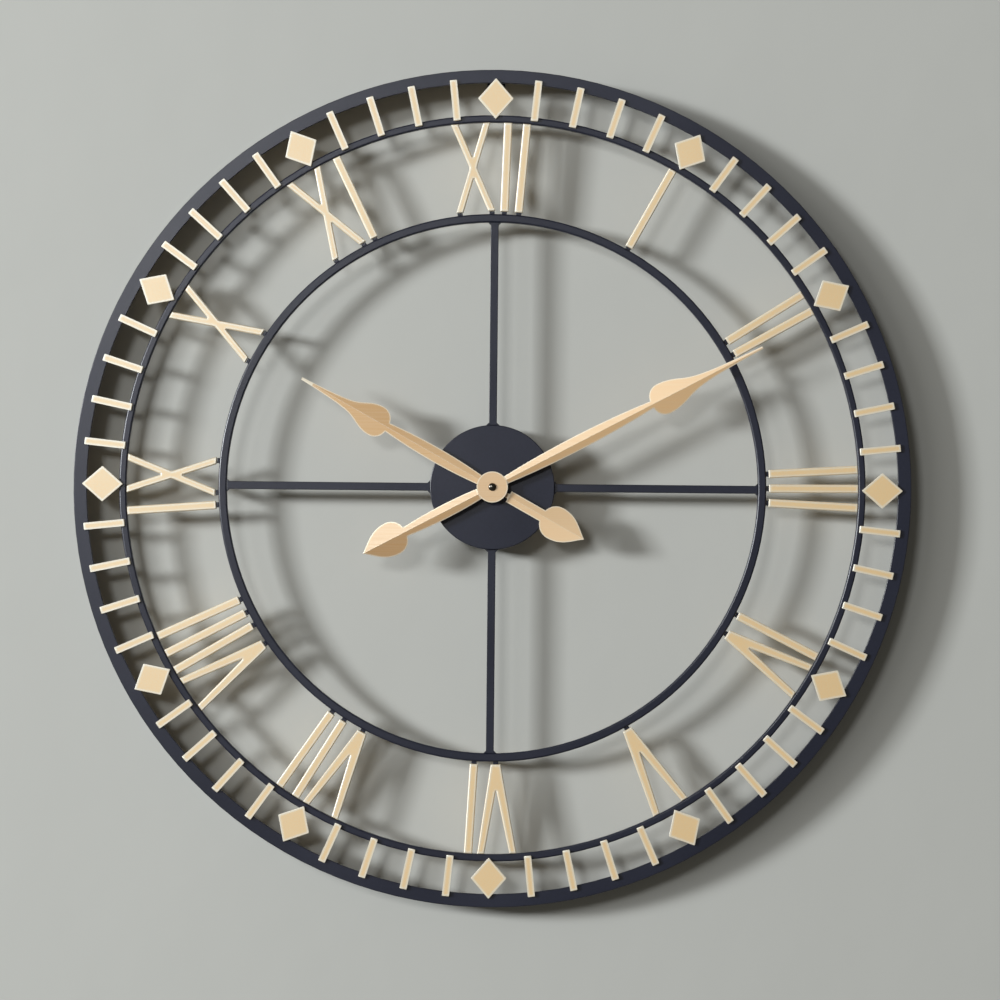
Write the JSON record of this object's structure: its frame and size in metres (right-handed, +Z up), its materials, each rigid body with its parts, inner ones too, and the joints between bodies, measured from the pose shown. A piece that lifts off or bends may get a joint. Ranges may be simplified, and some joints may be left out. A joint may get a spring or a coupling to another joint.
{
  "type": "wall clock",
  "caption": "Round open-frame wall clock: deep hoop, two rings, spokes, Roman numerals, spade hands and a geared quartz movement behind the hub.",
  "frame": {"origin": "centre of the nail hole in the wall hanger, on the wall plane; the hub axis is 378 mm below it", "axes": "+Z up towards 12 o'clock, +Y into the wall, so the dial faces -Y and 3 o'clock is +X"},
  "size_m": [0.7999, 0.056, 0.8],
  "materials": {
    "frame_black": "satin",
    "dial_gold": "satin, fine grain",
    "hand_gold": "satin, fine grain",
    "cap_black": "gloss",
    "case_plastic": "moulded",
    "knob_plastic": "moulded",
    "wheel_plastic": "moulded",
    "arbor_steel": "turned",
    "contact_steel": "plated",
    "nut_brass": "turned",
    "pad_rubber": "plain",
    "cell_wrap": "plain wrap"
  },
  "bodies": {
    "frame": {"rim_band": "frame_black", "rim_face": "frame_black", "middle_ring": "frame_black", "inner_ring": "frame_black", "hub_cup": "frame_black", "wall_hanger": "frame_black", "numeral_stubs": "frame_black", "spoke_12": "frame_black", "spoke_03": "frame_black", "spoke_06": "frame_black", "spoke_09": "frame_black", "numeral_01": "dial_gold", "numeral_02": "dial_gold", "numeral_03": "dial_gold", "numeral_04": "dial_gold", "numeral_05": "dial_gold", "numeral_06": "dial_gold", "numeral_07": "dial_gold", "numeral_08": "dial_gold", "numeral_09": "dial_gold", "numeral_10": "dial_gold", "numeral_11": "dial_gold", "numeral_12": "dial_gold", "hour_mark_01": "dial_gold", "hour_mark_02": "dial_gold", "hour_mark_03": "dial_gold", "hour_mark_04": "dial_gold", "hour_mark_05": "dial_gold", "hour_mark_06": "dial_gold", "hour_mark_07": "dial_gold", "hour_mark_08": "dial_gold", "hour_mark_09": "dial_gold", "hour_mark_10": "dial_gold", "hour_mark_11": "dial_gold", "hour_mark_12": "dial_gold", "minute_bars_1": "dial_gold", "minute_bars_2": "dial_gold", "minute_bars_3": "dial_gold", "minute_bars_4": "dial_gold", "movement_case": "case_plastic", "movement_cover": "case_plastic", "cell": "cell_wrap", "contact_plus": "contact_steel", "contact_minus": "contact_steel", "rubber_pad": "pad_rubber", "flange_nut": "nut_brass"},
    "minute": {"minute_hand": "hand_gold", "hand_cap": "cap_black", "minute_arbor": "arbor_steel"},
    "hour": {"hour_hand": "hand_gold", "hour_wheel": "wheel_plastic"},
    "setting": {"setting_wheel": "wheel_plastic", "setting_knob": "knob_plastic"}
  },
  "joints": [
    {"name": "minute_hand_turn", "type": "hinge", "parent": "frame", "child": "minute", "pos_m": [0, -0.042, -0.378], "axis": [0, 1, 0], "continuous": true},
    {"name": "hour_hand_turn", "type": "hinge", "parent": "frame", "child": "hour", "pos_m": [0, -0.042, -0.378], "axis": [0, 1, 0], "continuous": true},
    {"name": "setting_knob_turn", "type": "hinge", "parent": "frame", "child": "setting", "pos_m": [0, -0.023, -0.368], "axis": [0, 1, 0], "continuous": true}
  ],
  "couplings": [
    {"joint": "hour_hand_turn", "follows": "minute_hand_turn", "ratio": 0.083333},
    {"joint": "setting_knob_turn", "follows": "minute_hand_turn", "ratio": -0.33333}
  ]
}
